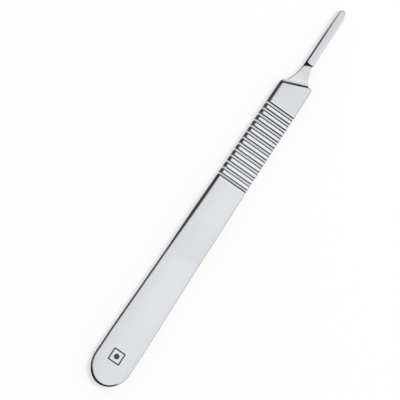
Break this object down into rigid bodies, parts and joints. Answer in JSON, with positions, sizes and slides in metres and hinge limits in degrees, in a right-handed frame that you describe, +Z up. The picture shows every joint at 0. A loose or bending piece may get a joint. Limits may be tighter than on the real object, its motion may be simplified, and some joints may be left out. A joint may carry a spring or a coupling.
{
  "type": "scalpel handle",
  "caption": "Flat steel handle for detachable surgical blades, with a round butt, a grooved grip, a slanted shoulder and a slim slotted blade fitting.",
  "frame": {"origin": "under the middle of the handle's length, in the plane of its lower face", "axes": "+X along the handle from the butt to the tip of the blade fitting, +Z up out of the face that has the blade's seat, +Y to the left seen from above"},
  "size_m": [0.125, 0.0114, 0.0041],
  "materials": {
    "steel": "satin"
  },
  "bodies": {
    "root": {"handle": "steel"}
  },
  "joints": []
}
